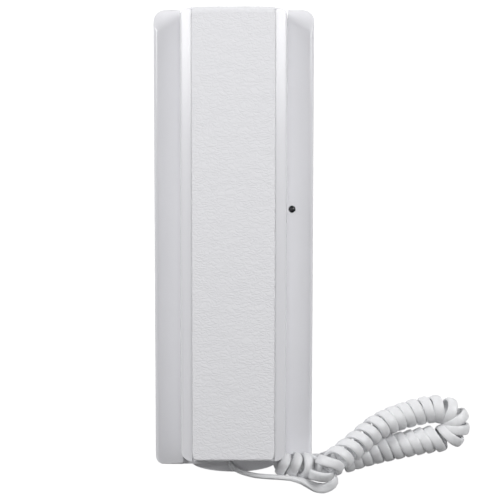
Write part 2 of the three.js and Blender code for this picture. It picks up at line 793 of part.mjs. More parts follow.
// Side profile of the front: flat, with both ends rounded over.
function frontProfile(inset) {
  const low = HANDSET_LOW + inset;
  const top = HANDSET_TOP - inset;
  const front = HANDSET_FRONT - inset;
  const profile = new THREE.Shape();
  profile.moveTo(low, 0);
  profile.lineTo(top, 0);
  profile.lineTo(top, front - TOP_ROUND);
  profile.quadraticCurveTo(top, front, top - TOP_ROUND, front);
  profile.lineTo(low + CHIN_ROUND, front);
  profile.quadraticCurveTo(low, front, low, front - CHIN_ROUND);
  return acrossWidth(profile, 2 * HANDSET_WIDTH);
}

// Section of the front shell: side walls, sloping strips and the level between them.
function frontSection(inset, from, level) {
  const half = HANDSET_WIDTH / 2 - inset;
  const shoulder = STRIP_TOP - STRIP_FALL - inset;
  const section = new THREE.Shape();
  section.moveTo(-half, from);
  section.lineTo(half, from);
  section.lineTo(half, shoulder - STRIP_EDGE);
  section.quadraticCurveTo(half, shoulder, half - STRIP_EDGE, shoulder + 0.6);
  section.lineTo(PANEL_WIDTH / 2 + CLEARANCE - inset, level);
  section.lineTo(-PANEL_WIDTH / 2 - CLEARANCE + inset, level);
  section.lineTo(-half + STRIP_EDGE, shoulder + 0.6);
  section.quadraticCurveTo(-half, shoulder, -half, shoulder - STRIP_EDGE);
  return alongLength(section, -BASE_LENGTH, BASE_LENGTH, 4);
}

const SHELL_SCREW_Y = 46;
const SHELL_BOSS = 3.2;
const SHELL_BORE = 1.4;
const PAD_HEIGHT = 1.4;
const padTop = GRIP_BACK + FLOOR + PAD_HEIGHT;
const SEAL_THICKNESS = 1.5;
const CAPSULE_HEIGHT = 8;
const MICROPHONE_HEIGHT = 5.6;
const sealBack = CUP_FLOOR + CLEARANCE;
const capsuleBack = sealBack + SEAL_THICKNESS + CLEARANCE;
const capsuleTop = capsuleBack + CAPSULE_HEIGHT;
const microphoneTop = capsuleBack + MICROPHONE_HEIGHT;

function pressTube(radius, from, y) {
  return post(radius, from + CLEARANCE, SHELL_CEILING + 1, 0, y)
    .subtract(post(radius - 1.4, 0, SHELL_CEILING, 0, y));
}

function makeFrontShell() {
  const seam = SEAM + CLEARANCE / 2;
  const outer = prism(handsetPlan(0), seam, HANDSET_FRONT)
    .intersect(frontSection(0, 0, STRIP_TOP))
    .intersect(frontProfile(0));
  const inner = prism(handsetPlan(FLOOR), seam - 1, HANDSET_FRONT)
    .intersect(frontSection(FLOOR, 0, SHELL_CEILING));
  const recess = block(
    PANEL_WIDTH + 2 * CLEARANCE,
    2 * BASE_LENGTH,
    PANEL_THICKNESS + 2,
    0,
    0,
    RECESS_FLOOR,
  );
  const bosses = [-SHELL_SCREW_Y, SHELL_SCREW_Y].map((y) => (
    post(SHELL_BOSS, padTop + CLEARANCE, SHELL_CEILING + 1, 0, y)
      .subtract(post(SHELL_BORE, 0, padTop + 9, 0, y, 14))));
  return outer
    .subtract(inner)
    .subtract(recess)
    .add(union(bosses))
    .add(pressTube(10, capsuleTop, WELL_OFFSET))
    .add(pressTube(4, microphoneTop, -WELL_OFFSET));
}

addPart('handset_front_shell', narrowed(makeFrontShell()), paint.white());

function makeFrontPanel() {
  const outline = roundedOutline(
    PANEL_WIDTH,
    HANDSET_LOW + CLEARANCE,
    HANDSET_TOP - CLEARANCE,
    PANEL_CORNER,
  );
  return pillow(outline, PANEL_BACK - 2, HANDSET_FRONT, 0.5, 0.5)
    .subtract(block(BASE_WIDTH, 2 * BASE_LENGTH, 3, 0, 0, PANEL_BACK - 3))
    .intersect(frontProfile(0));
}

addPart('handset_front_panel', narrowed(makeFrontPanel()), paint.grained());

// A cup of the handset, drawn in by an inset.
function cup(centre, inset, facets) {
  const outline = roundedOutline(
    CUP_WIDTH - 2 * inset,
    centre - CUP_LENGTH / 2 + inset,
    centre + CUP_LENGTH / 2 - inset,
    CUP_CORNER - inset,
  );
  return pillow(outline, CUP_BACK + inset, SEAM, 2.6, 2.6, facets);
}

// Section that steps the handset's sides in below the wings' inner edges.
function reliefSection() {
  const half = HANDSET_WIDTH / 2;
  const step = WING_HEIGHT + CLEARANCE;
  const section = polygon([
    [-half + SIDE_RELIEF, 0],
    [half - SIDE_RELIEF, 0],
    [half - SIDE_RELIEF, step],
    [half, step + SIDE_RELIEF],
    [half, SEAM],
    [-half, SEAM],
    [-half, step + SIDE_RELIEF],
    [-half + SIDE_RELIEF, step],
  ]);
  return alongLength(section, -BASE_LENGTH, BASE_LENGTH);
}

function makeBackShell() {
  const seam = SEAM - CLEARANCE / 2;
  const trim = block(BASE_WIDTH, 2 * BASE_LENGTH, HANDSET_FRONT, 0, 0, seam);
  const bodyOf = (inset, facets) => {
    const rounding = BACK_ROUND - inset / 2;
    const back = GRIP_BACK + inset;
    return pillow(handsetPlan(inset), back, HANDSET_FRONT, rounding, rounding, facets);
  };
  const ends = [-WELL_OFFSET, WELL_OFFSET];
  const outer = union([bodyOf(0, OUTSIDE), ...ends.map((y) => cup(y, 0, OUTSIDE))])
    .intersect(reliefSection());
  const inner = union([bodyOf(FLOOR, INSIDE), ...ends.map((y) => cup(y, FLOOR, INSIDE))]);
  let shell = outer.subtract(trim).subtract(inner);
  for (const y of [-SHELL_SCREW_Y, SHELL_SCREW_Y]) {
    shell = shell
      .add(post(SHELL_BOSS + 1.2, GRIP_BACK + FLOOR - 0.5, padTop, 0, y, 14))
      .subtract(post(SHELL_BORE + 0.2, 0, HANDSET_FRONT, 0, y, 10))
      .subtract(post(3, 0, GRIP_BACK + 1.8, 0, y, 14));
  }
  const earHoles = [[0, 0]];
  for (let i = 0; i < 6; i += 1) {
    const angle = (i * Math.PI) / 3;
    earHoles.push([6 * Math.cos(angle), 6 * Math.sin(angle)]);
  }
  for (const [x, y] of earHoles) {
    shell = shell.subtract(post(1.1, 0, GRIP_BACK, x, WELL_OFFSET + y, 8));
  }
  for (const x of [-3, 0, 3]) {
    shell = shell.subtract(post(0.7, 0, GRIP_BACK, x, -WELL_OFFSET, 6));
  }
  const exitHole = oblong(
    NECK_HEIGHT + 2 * CLEARANCE,
    NECK_WIDTH + 2 * CLEARANCE,
    EXIT_X,
    EXIT_Z,
    HANDSET_LOW - 1,
    HANDSET_LOW + FLOOR + 1,
  );
  return shell.subtract(exitHole);
}

addPart('handset_back_shell', narrowed(makeBackShell()), paint.white());

const shellScrew = screw(2.6, 1.3, SHELL_BORE - CLEARANCE, 9);
[-SHELL_SCREW_Y, SHELL_SCREW_Y].forEach((y, i) => {
  addPart(`handset_screw_${i + 1}`, shellScrew.translate([0, y, GRIP_BACK + 0.2]), paint.steel());
});

// ---------------------------------------------------------------- inside the handset

const SEAL_RADIUS = 13.5;
const SEAL_BORE = 10.5;
const sealFront = sealBack + SEAL_THICKNESS;
const seal = turned([
  [SEAL_BORE, sealBack],
  [SEAL_RADIUS, sealBack],
  [SEAL_RADIUS, sealFront],
  [SEAL_BORE, sealFront],
  [SEAL_BORE, sealBack],
], 0, WELL_OFFSET, 24);
addPart('receiver_seal', seal, paint.foam());

const CAPSULE_RADIUS = 15.4;
const CAPSULE_DISH = 0.6;         // the sound holes' plate lies back from the capsule's rim
const capsule = turned([
  [0, capsuleBack + CAPSULE_DISH],
  [CAPSULE_RADIUS * 0.58, capsuleBack + CAPSULE_DISH],
  [CAPSULE_RADIUS * 0.62, capsuleBack],
  [CAPSULE_RADIUS, capsuleBack],
  [CAPSULE_RADIUS, capsuleBack + CAPSULE_HEIGHT * 0.3],
  [CAPSULE_RADIUS * 0.95, capsuleBack + CAPSULE_HEIGHT * 0.38],
  [CAPSULE_RADIUS * 0.92, capsuleBack + CAPSULE_HEIGHT * 0.8],
  [CAPSULE_RADIUS * 0.75, capsuleTop],
  [0, capsuleTop],
], 0, WELL_OFFSET, 24);
addPart('receiver_capsule', capsule, paint.steel());

const MICROPHONE_RADIUS = 4.65;
const BOOT_WALL = 1.55;
const BOOT_BORE = 2.4;
const BOOT_HEIGHT = 6.4;
const bootInner = MICROPHONE_RADIUS + CLEARANCE;
const boot = turned([
  [BOOT_BORE, sealBack],
  [bootInner + BOOT_WALL, sealBack],
  [bootInner + BOOT_WALL, sealBack + BOOT_HEIGHT],
  [bootInner, sealBack + BOOT_HEIGHT],
  [bootInner, sealFront],
  [BOOT_BORE, sealFront],
  [BOOT_BORE, sealBack],
], 0, -WELL_OFFSET, 16);
addPart('microphone_boot', boot, paint.rubber());

const microphone = turned([
  [0, capsuleBack],
  [MICROPHONE_RADIUS, capsuleBack],
  [MICROPHONE_RADIUS, microphoneTop - CLEARANCE],
  [MICROPHONE_RADIUS - CLEARANCE, microphoneTop],
  [0, microphoneTop],
], 0, -WELL_OFFSET, 16);
addPart('microphone_capsule', microphone, paint.steel());

const BALLAST_WIDTH = 24;
const BALLAST_LENGTH = 72;
const BALLAST_THICKNESS = 5;
const ballastBack = GRIP_BACK + FLOOR + CLEARANCE;
const ballastPlan = roundedOutline(BALLAST_WIDTH, -BALLAST_LENGTH / 2, BALLAST_LENGTH / 2, 3);
const ballast = prism(ballastPlan, ballastBack, ballastBack + BALLAST_THICKNESS);
addPart('ballast_weight', ballast, paint.steel());

// ---------------------------------------------------------------- cord

// Routes of the cord's plain ends and the middle line of its curly part, from the handset
// round the far bend and back to the base. Chosen by hand, like the lie of a real cord.
const LEAD_ROUTE = [
  [exitX, HANDSET_LOW - CLEARANCE, EXIT_Z],
  [exitX, -107.4, EXIT_Z],
  [0.0, -110.6, 23.9],
  [3.4, -113.6, 17.4],
  [8.0, -115.2, 8.6],
  [13.6, -115.7, 3.6],
  [20.3, -115.8, 2.4],
  [27.4, -116.1, 2.4],
  [34.0, -118.0, 2.4],
  [39.1, -120.8, 2.4],
  [43.6, -122.3, 2.8],
  [47.0, -121.4, 5.4],
  [49.0, -120.1, 12.0],
  [48.0, -118.9, 20.0],
  [44.2, -116.6, 26.4],
  [42.5, -113.6, 30.8],
  [43.8, -110.2, 31.0],
  [45.6, -107.9, 29.4],
];
const CURL_OUT_ROUTE = [
  [46.7, -106.9, 29.2],
  [50.4, -104.0, 26.9],
  [55.3, -100.2, 22.8],
  [59.7, -96.9, 18.8],
  [64.5, -93.5, 14.8],
  [68.9, -90.7, 11.4],
  [73.9, -87.7, 8.8],
  [79.7, -85.6, 7.2],
  [84.8, -84.4, 6.6],
  [89.5, -83.7, 6.4],
  [93.8, -83.1, 6.4],
];
const CURL_BEND_CENTRE = [99.0, -90.4, 6.4];
const CURL_BEND_RADIUS = 7.4;
const CURL_BACK_ROUTE = [
  [97.2, -97.8, 6.4],
  [94.2, -97.9, 6.4],
  [90.6, -98.3, 6.4],
  [86.5, -98.9, 6.4],
  [81.7, -100.0, 6.4],
  [77.0, -101.6, 6.4],
  [72.7, -103.2, 6.4],
  [68.6, -104.8, 6.4],
  [64.9, -106.6, 6.4],
  [61.2, -108.6, 6.4],
  [57.4, -109.8, 6.6],
  [53.6, -110.4, 7.4],
  [49.8, -110.6, 9.4],
  [46.0, -110.8, 13.0],
  [41.6, -111.9, 18.2],
  [36.6, -111.8, 24.4],
  [30.6, -110.6, 26.6],
  [25.4, -109.8, 26.4],
  [22.6, -108.2, 26.2],
];
const BASE_LEAD_ROUTE = [
  [19.6, -108.0, 24.8],
  [19.0, -109.8, 22.4],
  [18.4, -112.2, 19.0],
  [18.4, -113.8, 15.4],
  [20.2, -113.8, 11.4],
  [22.6, -112.4, 8.6],
  [baseGrommetX, -110.8, 7.8],
  [baseGrommetX, -HALF_LENGTH - 2 * CLEARANCE, GROMMET_Z],
];

function routeCurve(points) {
  return new THREE.CatmullRomCurve3(points.map(([x, y, z]) => new THREE.Vector3(x, y, z)));
}

// The half turn at the far bend, and a little way along the stretch that follows it.
function bendPoints() {
  const points = [];
  const [x, y, z] = CURL_BEND_CENTRE;
  const steps = 8;
  for (let i = 0; i <= steps; i += 1) {
    const angle = Math.PI / 2 - (i / steps) * Math.PI;
    points.push([
      x + CURL_BEND_RADIUS * Math.cos(angle),
      y + CURL_BEND_RADIUS * Math.sin(angle),
      z,
    ]);
  }
  const [nextX, nextY, nextZ] = CURL_BACK_ROUTE[0];
  points.push([nextX + 3 * CLEARANCE, nextY, nextZ]);
  return points;
}

const LEAD_DIAMETER = (CORD_WIDTH + CORD_HEIGHT) / 2;
const curlOut = routeCurve([...CURL_OUT_ROUTE, ...bendPoints()]);
const curlBack = routeCurve(CURL_BACK_ROUTE);
addPart('handset_lead', tube(routeCurve(LEAD_ROUTE), LEAD_DIAMETER, 30, 8), paint.cord());
addPart('curly_cord_out', tube(curlOut, CURL_DIAMETER, 26, 12), paint.cord());
addPart('curly_cord_back', tube(curlBack, CURL_DIAMETER, 30, 12), paint.cord());
addPart('base_lead', tube(routeCurve(BASE_LEAD_ROUTE), LEAD_DIAMETER, 12, 8), paint.cord());

export default phone;
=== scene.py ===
# A slim wall intercom phone: white moulded shells, a grained front panel and a curly cord,
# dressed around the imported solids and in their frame. Lengths are in metres.

import math

import bmesh
import bpy
from mathutils import Matrix, Vector


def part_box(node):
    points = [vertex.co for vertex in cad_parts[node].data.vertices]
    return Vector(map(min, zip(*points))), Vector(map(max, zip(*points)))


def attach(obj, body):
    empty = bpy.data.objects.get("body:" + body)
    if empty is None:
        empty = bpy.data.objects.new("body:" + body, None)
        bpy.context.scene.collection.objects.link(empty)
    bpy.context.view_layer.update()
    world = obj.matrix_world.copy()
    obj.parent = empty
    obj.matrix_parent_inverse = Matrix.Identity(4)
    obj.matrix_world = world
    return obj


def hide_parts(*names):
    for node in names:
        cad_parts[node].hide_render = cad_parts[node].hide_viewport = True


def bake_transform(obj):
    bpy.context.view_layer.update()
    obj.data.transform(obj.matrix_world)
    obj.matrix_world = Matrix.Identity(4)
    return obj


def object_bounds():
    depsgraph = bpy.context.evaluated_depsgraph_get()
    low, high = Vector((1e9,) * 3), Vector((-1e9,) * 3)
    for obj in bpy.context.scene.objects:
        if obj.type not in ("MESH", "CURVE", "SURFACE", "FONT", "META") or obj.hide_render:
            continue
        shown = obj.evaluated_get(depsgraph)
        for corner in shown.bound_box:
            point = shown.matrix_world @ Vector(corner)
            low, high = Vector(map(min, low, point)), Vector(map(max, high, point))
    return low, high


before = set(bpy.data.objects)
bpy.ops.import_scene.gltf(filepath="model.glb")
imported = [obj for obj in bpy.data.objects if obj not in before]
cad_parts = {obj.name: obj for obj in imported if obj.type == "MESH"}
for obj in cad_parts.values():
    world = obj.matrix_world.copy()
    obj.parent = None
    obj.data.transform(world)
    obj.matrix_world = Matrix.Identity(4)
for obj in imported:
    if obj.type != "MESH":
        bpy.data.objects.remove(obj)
cad_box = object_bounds()

# ------------------------------------------------------------------ camera
# A long lens a little over a metre out, almost square to the wall and leaning slightly
# towards the mouthpiece end.

FIELD_WIDTH = 0.2375
FIELD_CENTRE = Vector((0.0077, -0.0067, 0.020))
DISTANCE = 1.1
LEAN = math.radians(1.2)
SENSOR_WIDTH = 36.0

camera_data = bpy.data.cameras.new("camera")
camera_data.sensor_width = SENSOR_WIDTH
camera_data.lens = SENSOR_WIDTH * DISTANCE / FIELD_WIDTH
camera = bpy.data.objects.new("camera", camera_data)
camera.location = FIELD_CENTRE + DISTANCE * Vector((0, -math.sin(LEAN), math.cos(LEAN)))
camera.rotation_euler = (LEAN, 0, 0)
bpy.context.scene.collection.objects.link(camera)
bpy.context.scene.camera = camera

# ------------------------------------------------------------------ curly cord
# One length of flat-oval PVC cord. A plain lead leaves the handset, the middle is wound
# into a tight coil that lies doubled over, and a short lead goes back into the base.

CORD_WIDTH = 0.0049
CORD_HEIGHT = 0.0024
CORD_SIDES = 16
CORD_SQUARENESS = 2.7             # exponent of the section's rounded outline
COIL_RADIUS = 0.0051              # of the cord's middle line in a turn
COIL_SWELL = 0.0005               # that the radius gains near the bend
SWELL_PLACE = 15                  # where it gains most, counted in turns
SWELL_REACH = 5.0
STEPS_PER_TURN = 24
JOINING_STEPS = 3                 # of the coil, over which a plain lead runs into it
LEAD_STEP = 0.0016                # between the rings of a plain lead
TUCK = 0.003                      # of cord inside each grommet

# From the handset on its edge, over the side of the coil's last turns and round to its start.
LEAD_ACROSS = [
    (-0.0010, -0.1084, 0.0264),
    (0.0010, -0.1102, 0.0267),
    (0.0056, -0.1120, 0.0275),
    (0.0106, -0.1130, 0.0289),
    (0.0162, -0.1134, 0.0305),
    (0.0216, -0.1136, 0.0318),
    (0.0265, -0.1140, 0.0322),
]
LEAD_ROUND = [
    (0.0312, -0.1151, 0.0312),
    (0.0356, -0.1172, 0.0290),
    (0.0392, -0.1188, 0.0266),
    (0.0424, -0.1193, 0.0250),
]
LEAD_UNDER = [
    (0.0452, -0.1184, 0.0240),
    (0.0472, -0.1164, 0.0234),
    (0.0464, -0.1142, 0.0230),
    (0.0436, -0.1130, 0.0228),
    (0.0402, -0.1130, 0.0236),
    (0.0376, -0.1132, 0.0256),
]
# The middle line of the coil: one point for each turn, where that turn faces off the wall.
COIL_OUT = [
    (0.0403, -0.1145, 0.0256),
    (0.0412, -0.1110, 0.0286),
    (0.0453, -0.1073, 0.0304),
    (0.0499, -0.1046, 0.0268),
    (0.0548, -0.1011, 0.0230),
    (0.0595, -0.0977, 0.0196),
    (0.0639, -0.0942, 0.0166),
    (0.0684, -0.0910, 0.0140),
    (0.0731, -0.0888, 0.0117),
    (0.0775, -0.0870, 0.0100),
    (0.0824, -0.0855, 0.0086),
    (0.0876, -0.0841, 0.0077),
    (0.0929, -0.0831, 0.0072),
    (0.0980, -0.0828, 0.0070),
]
COIL_BEND_CENTRE = Vector((0.0998, -0.0899, 0.0070))
COIL_BEND_RADIUS = 0.0068
COIL_BEND_ANGLES = (52, 12, -24, -60)
COIL_BACK = [
    (0.0962, -0.0970, 0.0070),
    (0.0914, -0.0978, 0.0070),
    (0.0866, -0.0987, 0.0069),
    (0.0818, -0.0997, 0.0069),
    (0.0770, -0.1008, 0.0068),
    (0.0722, -0.1019, 0.0068),
    (0.0674, -0.1030, 0.0067),
    (0.0626, -0.1043, 0.0067),
    (0.0578, -0.1057, 0.0068),
    (0.0531, -0.1071, 0.0078),
    (0.0464, -0.1086, 0.0108),
    (0.0402, -0.1096, 0.0158),
    (0.0360, -0.1093, 0.0220),
    (0.0330, -0.1085, 0.0262),
    (0.0289, -0.1081, 0.0264),
    (0.0234, -0.1080, 0.0263),
    (0.0180, -0.1080, 0.0262),
]
COIL_START = 0.75                 # counted in turns along those points
COIL_END = 33.5
FIRST_LEAN = math.radians(18)     # sideways lean of the first turns
FIRST_LEANING = 5.5               # the number of turns that it fades over
LAST_LEAN = math.radians(46)      # lean of the last turns, the other way
LAST_LEANING = 5.5
BEND_LEAN = math.radians(16)      # lean of the turns just past the bend
BEND_LEAN_PLACE = 18
BEND_LEANING = 4.0
TAIL_ROUTE = [
    (0.0232, -0.1112, 0.0192),
    (0.0233, -0.1123, 0.0160),
    (0.0234, -0.1125, 0.0126),
    (0.0235, -0.1118, 0.0096),
]


def smooth_line(points, step):
    """Points a step apart on a smooth curve through the given ones."""
    points = [Vector(p) for p in points]
    points = [points[0] * 2 - points[1], *points, points[-1] * 2 - points[-2]]
    line = []
    for i in range(1, len(points) - 2):
        count = max(2, round((points[i + 1] - points[i]).length / step))
        line += [on_curve(points, i + k / count) for k in range(count)]
    line.append(points[-2])
    return line


def on_curve(points, place):
    """A point on the smooth curve through the given ones, its place counted in points."""
    i = min(max(int(place), 1), len(points) - 3)
    t = place - i
    a, b, c, d = points[i - 1:i + 3]
    bent = (a * 2 - b * 5 + c * 4 - d) * t ** 2 + (b * 3 - a - c * 3 + d) * t ** 3
    return (b * 2 + (c - a) * t + bent) / 2


def directions(points):
    """The unit tangent at each point of a line."""
    ends = [points[0], *points, points[-1]]
    return [(c - a).normalized() for a, c in zip(ends, ends[2:])]


def square_to(normal, tangent):
    return (normal - tangent * normal.dot(tangent)).normalized()


def coil_stations():
    """Each point of the coiled stretch, with the outward normal of its turn."""
    bend = []
    for degrees in COIL_BEND_ANGLES:
        turn = Matrix.Rotation(math.radians(degrees), 3, "Z")
        bend.append(COIL_BEND_CENTRE + turn @ Vector((COIL_BEND_RADIUS, 0, 0)))
    middle = [Vector(p) for p in (*COIL_OUT, *bend, *COIL_BACK)]
    start = round(COIL_START * STEPS_PER_TURN)
    end = round(COIL_END * STEPS_PER_TURN)
    places = [i / STEPS_PER_TURN for i in range(start, end + 1)]
    line = [on_curve(middle, place) for place in places]
    for place, point, tangent in zip(places, line, directions(line)):
        axis = Matrix.Rotation(coil_lean(place), 3, "Z") @ tangent
        off_wall = square_to(Vector((0, 0, 1)), axis)
        outward = Matrix.Rotation(math.tau * place, 3, axis) @ off_wall
        radius = COIL_RADIUS + COIL_SWELL * swell(place, SWELL_PLACE, SWELL_REACH)
        yield point + outward * radius, outward


def swell(place, middle, reach):
    """1 at the middle, falling softly towards 0 on both sides."""
    return math.exp(-((place - middle) / reach) ** 2)


def coil_lean(place):
    first = max(0, 1 - (place - COIL_START) / FIRST_LEANING)
    last = max(0, 1 + (place - COIL_END) / LAST_LEANING)
    past_bend = swell(place, BEND_LEAN_PLACE, BEND_LEANING)
    return FIRST_LEAN * first - LAST_LEAN * last ** 1.5 + BEND_LEAN * past_bend


def lead_stations(points, first_normal, last_normal):
    """A plain stretch of the flat cord that turns evenly from one lie to the other."""
    line = smooth_line(points, LEAD_STEP)
    tangents = directions(line)
    normals = []
    normal = first_normal
    for tangent in tangents:
        normal = square_to(normal, tangent)
        normals.append(normal)
    end = square_to(last_normal, tangents[-1])
    twist = normals[-1].angle(end)
    if normals[-1].cross(end).dot(tangents[-1]) < 0:
        twist = -twist
    if abs(twist) > math.pi / 2:
        twist -= math.copysign(math.pi, twist)
    count = len(line) - 1
    for i, (point, tangent, normal) in enumerate(zip(line, tangents, normals)):
        yield point, Matrix.Rotation(twist * i / count, 3, tangent) @ normal


def grommet_mouth(node, inside=0.0):
    """The middle of a grommet's outer face, or a point that far inside the shell."""
    low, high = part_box(node)
    return Vector(((low.x + high.x) / 2, low.y + inside, (low.z + high.z) / 2))


def cord_stations():
    """The whole cord from the handset's grommet to the base's."""
    coil = list(coil_stations())
    coil_in = coil[JOINING_STEPS]
    coil_out = coil[-JOINING_STEPS - 1]
    start = [grommet_mouth("handset_grommet", depth) for depth in (TUCK, 0, -TUCK / 2)]
    end = [grommet_mouth("base_grommet", depth) for depth in (-TUCK / 2, 0, TUCK)]
    edgewise = Vector((0, -1, 0))
    flat = Vector((0, 0, 1))
    across = list(lead_stations([*start, *LEAD_ACROSS], Vector((-1, 0, 0)), edgewise))
    around = list(lead_stations([across[-1][0], *LEAD_ROUND], across[-1][1], flat))
    under = [around[-1][0], *LEAD_UNDER, coil[0][0], coil_in[0]]
    under = list(lead_stations(under, around[-1][1], coil_in[1]))
    tail = [coil_out[0], coil[-1][0], *TAIL_ROUTE, *end]
    tail = list(lead_stations(tail, coil_out[1], flat))
    wound = coil[JOINING_STEPS:-JOINING_STEPS - 1]
    return across[:-1] + around[:-1] + under[:-1] + wound + tail


def squared(value):
    """A sine or cosine pushed out, so that the section's sides lie flatter."""
    return math.copysign(abs(value) ** (2 / CORD_SQUARENESS), value)


def oval_ring(point, normal, tangent):
    """The cord's rounded flat section around one of its stations."""
    across = tangent.cross(normal)
    ring = []
    for i in range(CORD_SIDES):
        angle = math.tau * i / CORD_SIDES
        u = squared(math.cos(angle)) * CORD_WIDTH / 2
        v = squared(math.sin(angle)) * CORD_HEIGHT / 2
        ring.append(point + across * u + normal * v)
    return ring


def loft(rings):
    """A closed solid through rings that all have the same number of points."""
    bm = bmesh.new()
    circle = bmesh.ops.create_circle(bm, cap_ends=True, segments=len(rings[0]), radius=1.0)
    verts = circle["verts"]
    edges = list(bm.edges)
    for i, ring in enumerate(rings):
        if i > 0:
            grown = bmesh.ops.extrude_edge_only(bm, edges=edges)["geom"]
            edges = [item for item in grown if isinstance(item, bmesh.types.BMEdge)]
            verts = follow(edges, verts)
        for vert, place in zip(verts, ring):
            vert.co = place
    bmesh.ops.contextual_create(bm, geom=edges)
    bmesh.ops.recalc_face_normals(bm, faces=bm.faces)
    return bm


def follow(edges, ring):
    """The new ring's corners in the order of the ring that they were drawn from."""
    new = {vert for edge in edges for vert in edge.verts}
    order = []
    for vert in ring:
        order.append(next(edge.other_vert(vert) for edge in vert.link_edges
                          if edge.other_vert(vert) in new))
    return order


SHARP_ANGLE = math.radians(32)


def finished(name, bm):
    """An object with the bmesh's shape and smooth shading across its shallow edges."""
    mesh = bpy.data.meshes.new(name)
    bm.to_mesh(mesh)
    bm.free()
    mesh.shade_smooth()
    mesh.set_sharp_from_angle(angle=SHARP_ANGLE)
    piece = bpy.data.objects.new(name, mesh)
    bpy.context.scene.collection.objects.link(piece)
    return piece


def make_cord():
    stations = cord_stations()
    path = [point for point, normal in stations]
    rings = []
    for (point, normal), tangent in zip(stations, directions(path)):
        rings.append(oval_ring(point, square_to(normal, tangent), tangent))
    return finished("curly_cord", loft(rings)), path


class Shade:
    """One output in a material's node tree, on which sums are written as in Python."""

    def __init__(self, tree, socket):
        self.tree = tree
        self.socket = socket

    def node(self, kind, settings=None, **inputs):
        made = self.tree.nodes.new(kind)
        for name, value in (settings or {}).items():
            setattr(made, name, value)
        for name, value in inputs.items():
            self.feed(made, name, value)
        return made

    def feed(self, made, name, value):
        key = int(name[1:]) if name[1:].isdigit() else name
        if isinstance(value, Shade):
            self.tree.links.new(value.socket, made.inputs[key])
        else:
            made.inputs[key].default_value = value

    def out(self, kind, settings=None, output=0, **inputs):
        """One output of a new node, fed with the inputs."""
        return Shade(self.tree, self.node(kind, settings, **inputs).outputs[output])

    def sum(self, operation, *values):
        inputs = {f"_{i}": value for i, value in enumerate(values)}
        return self.out("ShaderNodeMath", {"operation": operation}, **inputs)

    def __add__(self, other):
        return self.sum("ADD", self, other)

    def __radd__(self, other):
        return self.sum("ADD", other, self)

    def __rmul__(self, other):
        return self.sum("MULTIPLY", other, self)

    def smooth(self, low, high):
        """0 below low and 1 above high, with a soft step between."""
        settings = {"interpolation_type": "SMOOTHSTEP"}
        return self.out("ShaderNodeMapRange", settings, _0=self, _1=low, _2=high)

    def tint(self, dark, light):
        """A colour between two, by this value."""
        settings = {"data_type": "RGBA"}
        return self.out("ShaderNodeMix", settings, 2, _0=self, _6=(*dark, 1), _7=(*light, 1))


def material(name):
    """A new material: its shader node and a Shade that reads Object coordinates."""
    made = bpy.data.materials.new(name)
    made.use_nodes = True
    tree = made.node_tree
    shader = tree.nodes["Principled BSDF"]
    place = tree.nodes.new("ShaderNodeTexCoord").outputs["Object"]
    return made, shader, Shade(tree, place)


def noise(place, scale, detail=3.0):
    return place.out("ShaderNodeTexNoise", Vector=place, Scale=scale, Detail=detail)


def bumped(place, shader, height, distance):
    normal = place.out("ShaderNodeBump", Height=height, Distance=distance, Strength=1.0)
    place.feed(shader, "Normal", normal)


def dress(piece, made):
    piece.data.materials.clear()
    piece.data.materials.append(made)


def soft_pvc():
    """The cord's sheath: pale grey-white, with a soft sheen and faint handling marks."""
    made, shader, place = material("soft_pvc")
    mottle = noise(place, 260, 4)
    place.feed(shader, "Base Color", mottle.tint((0.79, 0.795, 0.81), (0.84, 0.845, 0.86)))
    place.feed(shader, "Roughness", 0.34 + 0.12 * mottle)
    bumped(place, shader, noise(place, 1500), 0.00004)
    return made


cord, cord_path = make_cord()
dress(cord, soft_pvc())
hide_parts("handset_lead", "curly_cord_out", "curly_cord_back", "base_lead")
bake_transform(cord)
[tuple(point) for point in cord_path]

# ------------------------------------------------------------------ base housing
# The cradle, one thin shell moulded in polished white ABS: two wings with crowned ends beside
# the channel that the handset lies in, wells for its two cups, a finger notch, and a rounded
# chin below the mouthpiece.

BASE_LENGTH = 0.2164
BASE_WIDTH = 0.0768
NARROWING = 0.035                 # share of every width that is lost at the mouthpiece end
MOULDED_WALL = 0.0022
MOULDED_FLOOR = 0.0020
WING_HEIGHT = 0.0200
WING_FALL = 0.0006
WING_EDGE = 0.0024
CROWN_LENGTH = 0.0064             # along the wing's inner edge
CROWN_SLANT = 0.76                # that it gains per metre towards the outer edge
CROWN_HEIGHT = 0.0070
CROWN_TURN = math.radians(66)     # that its curve turns through, short of level
CROWN_MARGIN = 0.0004             # that its foot stands outside the housing
LOW_ROUND = 0.0012
TOP_CORNER = 0.0055
LOW_CORNER = 0.0042
CHANNEL_HALF = 0.0248
CRADLE_FLOOR = 0.0175
NOTCH_DEPTH = 0.0056
NOTCH_STEP = 0.0001               # that its sides stand back from the channel's
NOTCH_OVERLAP = 0.0005
FLARE = 0.0011
FLARE_LENGTH = 0.024
WELL_FLOOR = 0.0075
WELL_OFFSET = 0.077
WELL_SIZE = (0.0434, 0.0394)
WELL_CORNER = 0.0152
CHIN_RADII = (0.0210, 0.0050, 0.0120)
CHIN_CENTRE = (0, -0.1073, 0.0130)
BOSS_RADIUS = 0.0032
BOSS_PLACE = (0.0316, 0.0882)
BOSS_FOOT = 0.0027
BORE_RADIUS = 0.0015
BORE_TOP = 0.0117
HOOK_HOLE = (0.0118, 0.0072)
HOOK_HOLE_CORNER = 0.002
HOOK_Y = 0.036
LENS_PLACE = (0.0281, 0.0127)
LENS_HOLE = 0.00175
SOUND_SLOT = (0.010, 0.0018)
SOUND_PLACE = (-0.012, 0.019)
SLOT_PITCH = 0.004
CORD_HOLE = (0.0072, 0.0048)
CORD_HOLE_PLACE = (0.0243, 0.0077)
ROUND_GAP = 1e-5                  # between the centres of a hole's two round ends
CUT_LIFT = 0.003                  # above the wall, where the cuts from the front begin
BEYOND = 0.001                    # that a cut goes past the face it comes through
FAR = 0.3                         # past the object in any direction


